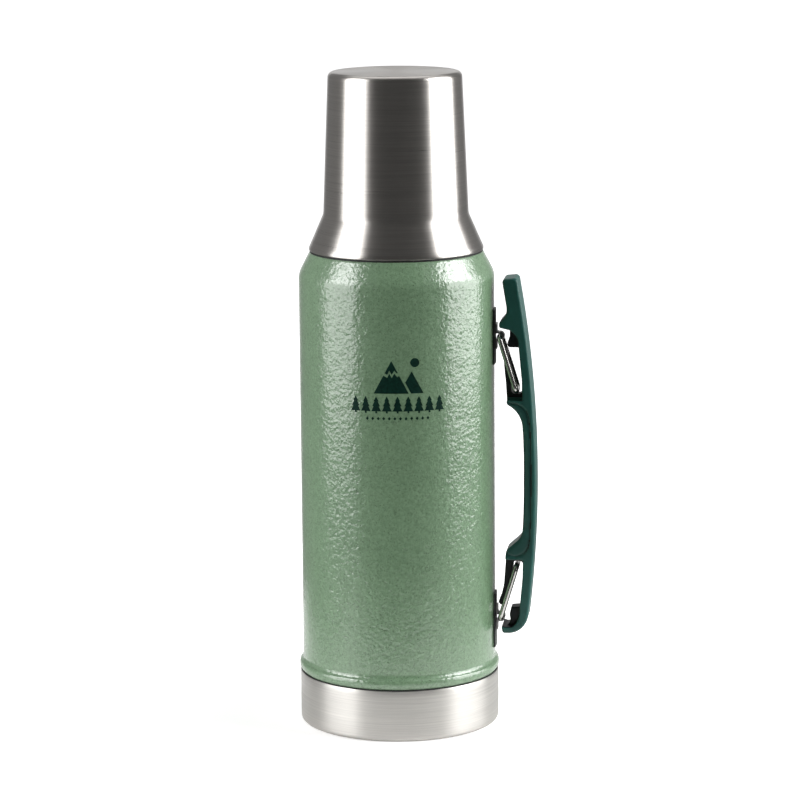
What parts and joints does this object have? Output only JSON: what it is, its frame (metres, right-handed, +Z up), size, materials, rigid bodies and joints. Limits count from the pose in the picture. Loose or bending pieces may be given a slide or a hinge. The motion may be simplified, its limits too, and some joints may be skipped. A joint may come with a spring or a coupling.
{
  "type": "vacuum flask",
  "caption": "Tall double-walled steel vacuum flask with a screw-on steel cup, a threaded stopper under it and a side handle that pulls out on wire bails.",
  "frame": {"origin": "centre of the flat base, on the surface that the flask stands on", "axes": "+Z up the flask's own axis, +X from the axis to the handle, +Y completes a right-handed set"},
  "size_m": [0.1323, 0.111, 0.36],
  "materials": {
    "green_enamel": "hammertone gloss enamel",
    "brushed_steel": "brushed round the axis",
    "inner_steel": "bright drawn steel",
    "wire_steel": "drawn stainless wire",
    "bracket_steel": "dark satin coating",
    "clip_steel": "bent strip",
    "handle_plastic": "semi-gloss moulded",
    "black_rubber": "moulded",
    "stopper_plastic": "moulded",
    "ring_plastic": "moulded",
    "foam": "closed-cell foam",
    "silicone": "soft moulded",
    "braze": "brazed bead",
    "getter_metal": "pressed powder"
  },
  "bodies": {
    "flask": {"outer_shell": "green_enamel", "base_cup": "brushed_steel", "base_seal_ring": "black_rubber", "outer_bottom": "inner_steel", "vacuum_seal": "braze", "getter_clip": "inner_steel", "getter_pellet": "getter_metal", "inner_bottle": "inner_steel", "neck_collar": "stopper_plastic", "seam_gasket": "black_rubber", "upper_bracket_plate": "bracket_steel", "upper_hinge_clip": "clip_steel", "lower_bracket_plate": "bracket_steel", "lower_hinge_clip": "clip_steel"},
    "cup": {"cup_shell": "brushed_steel", "cup_liner": "inner_steel", "cup_thread_ring": "ring_plastic"},
    "stopper": {"stopper_body": "stopper_plastic", "stopper_insulation": "foam", "stopper_seal": "silicone", "stopper_knob": "stopper_plastic"},
    "handle": {"handle_body": "handle_plastic"},
    "upper_bail": {"upper_bail": "wire_steel"},
    "lower_bail": {"lower_bail": "wire_steel"}
  },
  "joints": [
    {"name": "cup_lift", "type": "slide", "parent": "flask", "child": "cup", "axis": [0, 0, 1], "range_m": [0, 0.105]},
    {"name": "stopper_lift", "type": "slide", "parent": "flask", "child": "stopper", "axis": [0, 0, 1], "range_m": [0, 0.044]},
    {"name": "handle_pull", "type": "slide", "parent": "flask", "child": "handle", "axis": [1, 0, 0], "range_m": [0, 0.023]},
    {"name": "upper_bail_swing", "type": "hinge", "parent": "flask", "child": "upper_bail", "pos_m": [0.0568, 0, 0.2158], "axis": [0, -1, 0], "range_deg": [0, 53]},
    {"name": "lower_bail_swing", "type": "hinge", "parent": "flask", "child": "lower_bail", "pos_m": [0.0568, 0, 0.0583], "axis": [0, 1, 0], "range_deg": [0, 53]}
  ],
  "couplings": [
    {"joint": "upper_bail_swing", "follows": "handle_pull", "rad_per_m": 40.218},
    {"joint": "lower_bail_swing", "follows": "handle_pull", "rad_per_m": 40.218}
  ]
}
